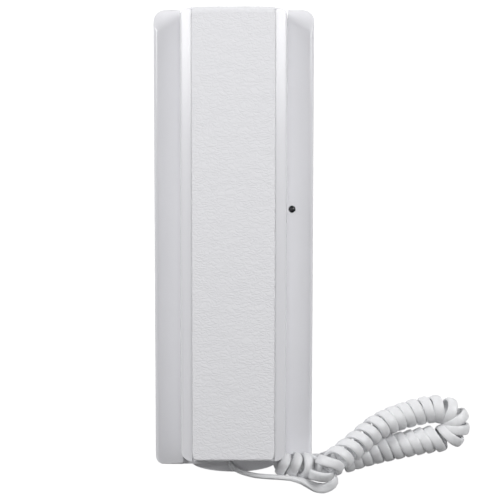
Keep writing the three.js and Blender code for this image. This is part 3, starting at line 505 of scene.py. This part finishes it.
def arc(centre, radii, start, end, steps):
    """Points on part of an upright ellipse, its angles in degrees."""
    points = []
    for i in range(steps + 1):
        angle = math.radians(start + (end - start) * i / steps)
        points.append((centre[0] + radii[0] * math.cos(angle),
                       centre[1] + radii[1] * math.sin(angle)))
    return points


def rounded_plan(width, low, high, low_radius, high_radius=None, steps=8):
    """A closed outline with rounded corners, from low to high along its second axis."""
    high_radius = high_radius or low_radius
    low_x = width / 2 - low_radius
    high_x = width / 2 - high_radius
    return [
        *arc((low_x, low + low_radius), (low_radius, low_radius), -90, 0, steps),
        *arc((high_x, high - high_radius), (high_radius, high_radius), 0, 90, steps),
        *arc((-high_x, high - high_radius), (high_radius, high_radius), 90, 180, steps),
        *arc((-low_x, low + low_radius), (low_radius, low_radius), 180, 270, steps),
    ]


def centred_plan(size, place, radius):
    outline = rounded_plan(size[0], place[1] - size[1] / 2, place[1] + size[1] / 2, radius)
    return [(x + place[0], y) for x, y in outline]


def level(outline, depth, axes="XYZ"):
    """The outline as a ring of points; axes name its two coordinates and its depth."""
    ring = []
    for u, v in outline:
        place = dict(zip(axes, (u, v, depth)))
        ring.append(Vector((place["X"], place["Y"], place["Z"])))
    return ring


def slab(outline, start, end, axes="XYZ"):
    return loft([level(outline, start, axes), level(outline, end, axes)])


def block(low, high):
    outline = [(low[0], low[1]), (high[0], low[1]), (high[0], high[1]), (low[0], high[1])]
    return slab(outline, low[2], high[2])


def post(radius, place, bottom, top):
    return slab(arc(place, (radius, radius), 0, 345, 23), bottom, top)


def combined(operation, body, *tools):
    """The body cut by, joined to or limited to each tool in turn."""
    target = finished("body", body)
    helpers = [target]
    for tool in tools:
        helper = finished("tool", tool)
        step = target.modifiers.new("step", "BOOLEAN")
        step.operation = operation
        step.solver = "EXACT"
        step.object = helper
        helpers.append(helper)
    result = bmesh.new()
    result.from_object(target, bpy.context.evaluated_depsgraph_get())
    for helper in helpers:
        mesh = helper.data
        bpy.data.objects.remove(helper)
        bpy.data.meshes.remove(mesh)
    return result


def narrowed(bm):
    """The moulding made slightly narrower towards its mouthpiece end."""
    for vert in bm.verts:
        vert.co.x *= 1 - NARROWING * (0.5 - vert.co.y / BASE_LENGTH)
    return bm


SOFT_EDGE = 0.0002
MERGING = 2e-6                    # points closer than this are one


def moulding(name, bm, body, node, edge=SOFT_EDGE):
    """A finished moulding with softened edges, riding on a body and standing for a node."""
    bmesh.ops.remove_doubles(bm, verts=bm.verts, dist=MERGING)
    piece = finished(name, bm)
    if edge:
        bevel = piece.modifiers.new("edges", "BEVEL")
        bevel.width = edge
        bevel.segments = 2
        bevel.limit_method = "ANGLE"
        bevel.angle_limit = math.radians(40)
    weighted = piece.modifiers.new("normals", "WEIGHTED_NORMAL")
    weighted.keep_sharp = True
    weighted.weight = 100
    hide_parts(node)
    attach(piece, body)
    return piece


def winged_body(inset, bottom, steps):
    """The housing's outer form, or the form of its hollow, that far inside it."""
    half = BASE_WIDTH / 2 - inset
    end = BASE_LENGTH / 2
    top = WING_HEIGHT - inset
    edge = top - WING_FALL
    rounding = (WING_EDGE, WING_EDGE)
    section = [
        (-half, bottom),
        (half, bottom),
        *arc((half - WING_EDGE, edge - WING_EDGE), rounding, 0, 90, steps),
        (CHANNEL_HALF, top),
        (-CHANNEL_HALF, top),
        *arc((WING_EDGE - half, edge - WING_EDGE), rounding, 90, 180, steps),
    ]
    plan = rounded_plan(2 * half, inset - end, end - inset, LOW_CORNER, TOP_CORNER, steps)
    low_end = arc((inset - end + LOW_ROUND, top - LOW_ROUND), (LOW_ROUND, LOW_ROUND),
                  90, 180, steps)
    profile = [(FAR, bottom), (FAR, top), *low_end, (inset - end, bottom)]
    return combined(
        "INTERSECT",
        slab(plan, bottom, WING_HEIGHT),
        slab(section, FAR, -FAR, "XZY"),
        slab(profile, -FAR, FAR, "YZX"),
        loft(crown_rings(half + CROWN_MARGIN, end - inset + CROWN_MARGIN, top, steps)),
    )


def crown_rings(half, end, top, steps):
    """The top end's rings, from its upright foot up to the slanting crease."""
    corner = arc((half - TOP_CORNER, end - TOP_CORNER), (TOP_CORNER, TOP_CORNER), 0, 90, steps)
    foot = [*corner, (CHANNEL_HALF - CROWN_MARGIN, end)]
    rings = []
    for i in range(steps + 1):
        turn = CROWN_TURN * i / steps
        drawn = (1 - math.cos(turn)) / (1 - math.cos(CROWN_TURN))
        risen = math.sin(turn) / math.sin(CROWN_TURN)
        right = [(half, -FAR)]
        for x, y in foot:
            crease = end - CROWN_LENGTH - CROWN_SLANT * (x - CHANNEL_HALF)
            right.append((x, y + drawn * (crease - y)))
        outline = right + [(-x, y) for x, y in reversed(right)]
        rings.append(level(outline, top - CROWN_HEIGHT * (1 - risen)))
    below = [Vector((point.x, point.y, -FAR)) for point in rings[0]]
    above = [Vector((point.x, point.y, FAR)) for point in rings[-1]]
    return [below, *rings, above]


def chin_bowl(inset, segments):
    """The lower half of an ellipsoid, that far inside the chin's outer face."""
    bm = bmesh.new()
    bmesh.ops.create_uvsphere(bm, u_segments=segments, v_segments=segments // 2, radius=1.0)
    cut = bmesh.ops.bisect_plane(
        bm, geom=[*bm.verts, *bm.edges, *bm.faces], plane_no=(0, 0, 1), clear_outer=True)
    rim = [item for item in cut["geom_cut"] if isinstance(item, bmesh.types.BMEdge)]
    bmesh.ops.contextual_create(bm, geom=rim)
    bmesh.ops.scale(bm, verts=bm.verts, vec=[radius - inset for radius in CHIN_RADII])
    bmesh.ops.translate(bm, verts=bm.verts, vec=Vector(CHIN_CENTRE) - Vector((0, 0, inset)))
    return bm


def channel_cuts(grow):
    """What the handset's channel, the notch and the two wells take away."""
    half = CHANNEL_HALF + grow
    notch = BASE_LENGTH / 2 - NOTCH_DEPTH - grow
    start = BASE_LENGTH / 2 - FLARE_LENGTH
    end = BASE_LENGTH / 2 + BEYOND
    past = notch + NOTCH_OVERLAP
    at_past = half + FLARE * (past - start) / (end - start)
    plan = [(-half, -FAR), (half, -FAR), (half, start), (at_past, past), (-at_past, past),
            (-half, start)]
    at_notch = at_past + NOTCH_STEP
    spread = half + FLARE + NOTCH_STEP
    notch_plan = [(-at_notch, notch), (at_notch, notch), (spread, end), (-spread, end)]
    wells = []
    for y in (-WELL_OFFSET, WELL_OFFSET):
        size = [length + 2 * grow for length in WELL_SIZE]
        outline = centred_plan(size, (0, y), WELL_CORNER + grow)
        wells.append(slab(outline, WELL_FLOOR - grow, WING_HEIGHT + BEYOND))
    return [slab(plan, CRADLE_FLOOR - grow, FAR), slab(notch_plan, -FAR, FAR), *wells]


def base_holes():
    """The openings through the housing: hook, indicator, sounder and cord."""
    low_end = -BASE_LENGTH / 2
    holes = [
        slab(centred_plan(HOOK_HOLE, (0, HOOK_Y), HOOK_HOLE_CORNER), CUT_LIFT, FAR),
        post(LENS_HOLE, LENS_PLACE, CUT_LIFT, FAR),
        slab(centred_plan(CORD_HOLE, CORD_HOLE_PLACE, CORD_HOLE[1] / 2 - ROUND_GAP),
             low_end - BEYOND, low_end + MOULDED_WALL + BEYOND, "XZY"),
    ]
    for i in (-1, 0, 1):
        x, y = SOUND_PLACE
        width, length = (0.5 * size for size in SOUND_SLOT)
        y += i * SLOT_PITCH
        holes.append(block((x - width, y - length, CUT_LIFT), (x + width, y + length, FAR)))
    return holes


def make_housing():
    shell = combined("UNION", winged_body(0, 0, 10), chin_bowl(0, 96))
    shell = combined("DIFFERENCE", shell, *channel_cuts(0))
    hollow = combined(
        "UNION", winged_body(MOULDED_WALL, -BEYOND, 3), chin_bowl(MOULDED_FLOOR, 32))
    spots = [(i * BOSS_PLACE[0], j * BOSS_PLACE[1]) for i in (-1, 1) for j in (-1, 1)]
    bosses = [post(BOSS_RADIUS, spot, BOSS_FOOT, FAR) for spot in spots]
    hollow = combined("DIFFERENCE", hollow, *channel_cuts(MOULDED_FLOOR), *bosses)
    bores = [post(BORE_RADIUS, spot, -BEYOND, BORE_TOP) for spot in spots]
    return narrowed(combined("DIFFERENCE", shell, hollow, *base_holes(), *bores))


def white_abs():
    """Polished white ABS: clean and even, with the faint waviness of a mould."""
    made, shader, place = material("white_abs")
    cloud = noise(place, 18, 2)
    place.feed(shader, "Base Color", cloud.tint((0.775, 0.775, 0.805), (0.795, 0.795, 0.825)))
    place.feed(shader, "Roughness", 0.16 + 0.06 * noise(place, 90, 3))
    bumped(place, shader, noise(place, 700), 0.00002)
    return made


shell_plastic = white_abs()
housing = moulding("base_moulding", make_housing(), "base", "base_housing")
dress(housing, shell_plastic)

# ------------------------------------------------------------------ wall plate and screws
# The flat back that hangs on the wall, moulded in the same white ABS, and the zinc-plated
# screws that hold the housing and the circuit board to it.

def smoothed(node, body):
    """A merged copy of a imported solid, shaded smoothly, standing for it."""
    bm = bmesh.new()
    bm.from_mesh(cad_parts[node].data)
    bmesh.ops.remove_doubles(bm, verts=bm.verts, dist=1e-6)
    bmesh.ops.dissolve_limit(
        bm, angle_limit=math.radians(0.5), verts=bm.verts, edges=bm.edges)
    return moulding(node + "_smooth", bm, body, node, edge=0)


dress(smoothed("wall_plate", "base"), shell_plastic)


def plain(name, color, roughness, metallic=0.0):
    """An even finish with faint patches in its colour and polish."""
    made, shader, place = material(name)
    patches = noise(place, 120, 3)
    dark = tuple(0.85 * c for c in color)
    place.feed(shader, "Base Color", patches.tint(dark, color))
    place.feed(shader, "Roughness", roughness + 0.1 * patches)
    shader.inputs["Metallic"].default_value = metallic
    bumped(place, shader, noise(place, 900), 0.00002)
    return made


zinc = plain("zinc_steel", (0.62, 0.62, 0.63), 0.3, 1.0)
for i in range(1, 5):
    dress(smoothed(f"housing_screw_{i}", "base"), zinc)
for i in range(1, 4):
    dress(smoothed(f"board_screw_{i}", "base"), zinc)

# ------------------------------------------------------------------ circuit board
# A green board with its terminal block, sounder, capacitor and transformer, all out of sight
# under the cradle.

solder_mask = plain("solder_mask", (0.03, 0.16, 0.06), 0.35)
black_moulding = plain("black_moulding", (0.02, 0.02, 0.022), 0.4)
blue_moulding = plain("blue_moulding", (0.04, 0.12, 0.32), 0.4)
brass = plain("brass", (0.70, 0.50, 0.20), 0.3, 1.0)
dress(smoothed("circuit_board", "base"), solder_mask)
dress(smoothed("terminal_block", "base"), blue_moulding)
for i in range(1, 5):
    dress(smoothed(f"terminal_screw_{i}", "base"), brass)
dress(smoothed("ringer_sounder", "base"), black_moulding)
dress(smoothed("storage_capacitor", "base"), black_moulding)
dress(smoothed("speech_transformer", "base"), zinc)

# ------------------------------------------------------------------ hook switch
# The white moulded plunger in the cradle floor on its steel spring, and the small black
# switch on the circuit board, whose button lies under the plunger's arm.

dress(smoothed("hook_plunger", "hook"), shell_plastic)
dress(smoothed("hook_switch", "base"), black_moulding)
dress(smoothed("hook_switch_button", "switch_button"), shell_plastic)
dress(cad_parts["hook_spring"], zinc)

# ------------------------------------------------------------------ indicator
# A polished rod of smoked plastic that stands on its lamp on the circuit board and ends
# flush in the face of the right wing.

smoked = plain("smoked_lens", (0.03, 0.03, 0.035), 0.08)
dress(smoothed("indicator_lens", "base"), smoked)
dress(smoothed("indicator_led", "base"), shell_plastic)

# ------------------------------------------------------------------ grommets
# Black rubber bushes where the cord goes through the two mouldings, each with its neck in the
# wall and a flange behind it.

soft_rubber = plain("soft_rubber", (0.03, 0.03, 0.03), 0.7)
dress(smoothed("base_grommet", "base"), soft_rubber)
dress(smoothed("handset_grommet", "handset"), soft_rubber)

# ------------------------------------------------------------------ handset shells
# Two mouldings in white ABS, screwed together: the back shell with its two cups, and the
# front shell with sloping strips on both sides of the panel's recess.

HANDSET_WIDTH = 0.0504
HANDSET_LOW = -0.1054
HANDSET_TOP = 0.1069
HANDSET_LOW_CORNER = 0.0050
HANDSET_TOP_CORNER = 0.0030
HANDSET_FRONT = 0.0418
SEAM = 0.0313
SEAM_GAP = 0.0003
STRIP_TOP = 0.0411
STRIP_FALL = 0.0024
STRIP_EDGE = 0.0013
STRIP_EDGE_FALL = 0.0006
TOP_ROUND = 0.0032
LOW_ROUNDING = 0.0012
RECESS_WIDTH = 0.0398
RECESS_FLOOR = 0.0405
BOW = 0.0020                      # that the top end falls back by at its corners
BOW_REACH = 0.030                 # how far down the handset that is felt
BOW_POWER = 6
BOW_STRIPS = 20


def end_profile():
    """Side profile of the handset's front, rounded over at both ends."""
    top = (TOP_ROUND, TOP_ROUND)
    low = (LOW_ROUNDING, LOW_ROUNDING)
    return [
        (HANDSET_LOW, 0),
        (HANDSET_TOP, 0),
        *arc((HANDSET_TOP - TOP_ROUND, HANDSET_FRONT - TOP_ROUND), top, 0, 90, 10),
        *arc((HANDSET_LOW + LOW_ROUNDING, HANDSET_FRONT - LOW_ROUNDING), low, 90, 180, 10),
    ]


def front_section():
    """The front shell's section, with its sloping strips and rounded shoulders."""
    half = HANDSET_WIDTH / 2
    shoulder = STRIP_TOP - STRIP_FALL
    edge = arc((half - STRIP_EDGE, shoulder - STRIP_EDGE),
               (STRIP_EDGE, STRIP_EDGE + STRIP_EDGE_FALL), 0, 78, 6)
    right = [(half, 0), *edge, (RECESS_WIDTH / 2, STRIP_TOP)]
    return right + [(-x, z) for x, z in reversed(right)]


def bowed(bm):
    """The top end bent back evenly from its middle to both corners."""
    for i in range(1, BOW_STRIPS):
        place = (i / BOW_STRIPS - 0.5) * HANDSET_WIDTH
        bmesh.ops.bisect_plane(
            bm, geom=[*bm.verts, *bm.edges, *bm.faces], plane_no=(1, 0, 0),
            plane_co=(place, 0, 0))
    for vert in bm.verts:
        along = max(0, 1 - (HANDSET_TOP - vert.co.y) / BOW_REACH)
        vert.co.y -= BOW * along ** 2 * (2 * vert.co.x / HANDSET_WIDTH) ** BOW_POWER
    return bm


def make_front_shell():
    plan = rounded_plan(HANDSET_WIDTH, HANDSET_LOW, HANDSET_TOP, HANDSET_LOW_CORNER,
                        HANDSET_TOP_CORNER, 10)
    outer = combined(
        "INTERSECT",
        slab(plan, SEAM + SEAM_GAP / 2, HANDSET_FRONT),
        slab(front_section(), FAR, -FAR, "XZY"),
        slab(end_profile(), -FAR, FAR, "YZX"),
    )
    wall = MOULDED_FLOOR
    inner_plan = rounded_plan(HANDSET_WIDTH - 2 * wall, HANDSET_LOW + wall,
                              HANDSET_TOP - wall, HANDSET_LOW_CORNER - wall / 2,
                              HANDSET_TOP_CORNER - wall / 2, 3)
    inner = slab(inner_plan, SEAM - BEYOND, STRIP_TOP - STRIP_FALL - wall)
    half = RECESS_WIDTH / 2
    recess = block((-half, -FAR, RECESS_FLOOR), (half, FAR, FAR))
    return narrowed(bowed(combined("DIFFERENCE", outer, inner, recess)))


dress(moulding("front_shell", make_front_shell(), "handset", "handset_front_shell"),
      shell_plastic)
dress(smoothed("handset_back_shell", "handset"), shell_plastic)
for i in (1, 2):
    dress(smoothed(f"handset_screw_{i}", "handset"), zinc)

# ------------------------------------------------------------------ front panel
# A separate long panel in leather-grained white plastic, let in between the strips and
# standing just proud of them.

PANEL_WIDTH = 0.0396
PANEL_LOW_CORNER = 0.0028
PANEL_TOP_CORNER = 0.0026
PANEL_BACK = 0.04051
PANEL_EDGE = 0.0005
PANEL_GAP = 0.0001


def make_panel():
    rings = []
    levels = arc((0, HANDSET_FRONT - PANEL_EDGE), (PANEL_EDGE, PANEL_EDGE), 0, 90, 5)
    for x, z in [(PANEL_EDGE, PANEL_BACK), *levels]:
        drawn_in = PANEL_EDGE - x
        outline = rounded_plan(
            PANEL_WIDTH - 2 * drawn_in,
            HANDSET_LOW + PANEL_GAP + drawn_in,
            HANDSET_TOP - PANEL_GAP - drawn_in,
            PANEL_LOW_CORNER - drawn_in,
            PANEL_TOP_CORNER - drawn_in,
            steps=10,
        )
        rings.append(level(outline, z))
    panel = combined("INTERSECT", loft(rings), slab(end_profile(), -FAR, FAR, "YZX"))
    return narrowed(bowed(panel))


def grained_abs():
    """White ABS off a leather-grained mould: creases that run mostly across the panel, with
    painted shade darkening their hollows.
    """
    made, shader, place = material("grained_abs")
    wander = place.out("ShaderNodeTexNoise", None, 1, Vector=place, Scale=160.0, Detail=3.0)
    moved = place.out(
        "ShaderNodeMix", {"data_type": "VECTOR"}, 1, _0=0.006, _4=place, _5=wander)
    across = place.out("ShaderNodeMapping", None, 0, Vector=moved, Scale=(0.34, 1, 1))
    cells = place.out(
        "ShaderNodeTexVoronoi", {"feature": "DISTANCE_TO_EDGE"}, 0, Vector=across, Scale=720.0)
    folds = noise(across, 900, 2)
    grain = cells.smooth(0.0, 0.2) + 1.2 * folds
    # Painted shade: the colour is made a little darker where the grain's creases sink in.
    place.feed(shader, "Base Color", cells.smooth(0.0, 0.10).tint(
        (0.775, 0.775, 0.80), (0.79, 0.79, 0.815)))
    place.feed(shader, "Roughness", 0.40 + 0.1 * noise(place, 300))
    bumped(place, shader, grain, 0.00006)
    return made


dress(moulding("front_panel", make_panel(), "handset", "handset_front_panel", edge=0),
      grained_abs())

# ------------------------------------------------------------------ inside the handset
# The receiver on its foam seal, the microphone in its boot, and the steel weight that makes
# the handset rest firmly on the hook.

foam = plain("foam", (0.05, 0.05, 0.055), 0.9)
dress(smoothed("receiver_seal", "handset"), foam)
dress(smoothed("receiver_capsule", "handset"), zinc)
dress(smoothed("microphone_boot", "handset"), soft_rubber)
dress(smoothed("microphone_capsule", "handset"), zinc)
dress(smoothed("ballast_weight", "handset"), zinc)

# ------------------------------------------------------------------ floor and light
# A plain white sweep that keeps a faint contact shadow, a softbox on each side near the
# earpiece end and a weaker one overhead.

FLOOR_HALF = 3.0
FLOOR_DROP = 0.0002               # below the object's lowest point
FLOOR_WHITE = 1.17
WHITE_SHARE = 0.85                # of that white in what the camera sees of the floor
SIDE_BOX = (0.78, 0.465, 0.72)
SIDE_POWER = 8.7
OVERHEAD_POWER = 3.5
FILL = 0.02


def floor():
    bm = bmesh.new()
    bmesh.ops.create_grid(bm, x_segments=1, y_segments=1, size=FLOOR_HALF)
    bmesh.ops.translate(bm, verts=bm.verts, vec=(0, 0, cad_box[0][2] - FLOOR_DROP))
    piece = finished("floor", bm)
    made, shader, place = material("white_sweep")
    shader.inputs["Base Color"].default_value = (0.9, 0.9, 0.9, 1)
    shader.inputs["Roughness"].default_value = 0.9
    lit = Shade(place.tree, shader.outputs[0])
    white = place.out("ShaderNodeEmission", Strength=FLOOR_WHITE)
    share = WHITE_SHARE * place.out("ShaderNodeLightPath", None, "Is Camera Ray")
    mixed = place.out("ShaderNodeMixShader", _0=share, _1=lit, _2=white)
    place.feed(place.tree.nodes["Material Output"], "Surface", mixed)
    dress(piece, made)


def softbox(name, location, target, size, power):
    data = bpy.data.lights.new(name, "AREA")
    data.shape = "RECTANGLE"
    data.size, data.size_y = size
    data.energy = power
    lamp = bpy.data.objects.new(name, data)
    lamp.location = location
    aim = Vector(target) - Vector(location)
    lamp.rotation_euler = aim.to_track_quat("-Z", "Y").to_euler()
    bpy.context.scene.collection.objects.link(lamp)


floor()
across, along, off = SIDE_BOX
for name, side in (("left", -1), ("right", 1)):
    softbox(name, (side * across, along, off), (0, along, 0.02), (0.6, 0.5), SIDE_POWER)
softbox("overhead", (0, 0.05, 1.6), (0, 0.05, 0.02), (0.4, 0.4), OVERHEAD_POWER)

world = bpy.data.worlds.new("studio")
world.use_nodes = True
world.node_tree.nodes["Background"].inputs["Color"].default_value = (1, 1, 1, 1)
world.node_tree.nodes["Background"].inputs["Strength"].default_value = FILL
bpy.context.scene.world = world
bpy.context.scene.view_settings.view_transform = "Standard"
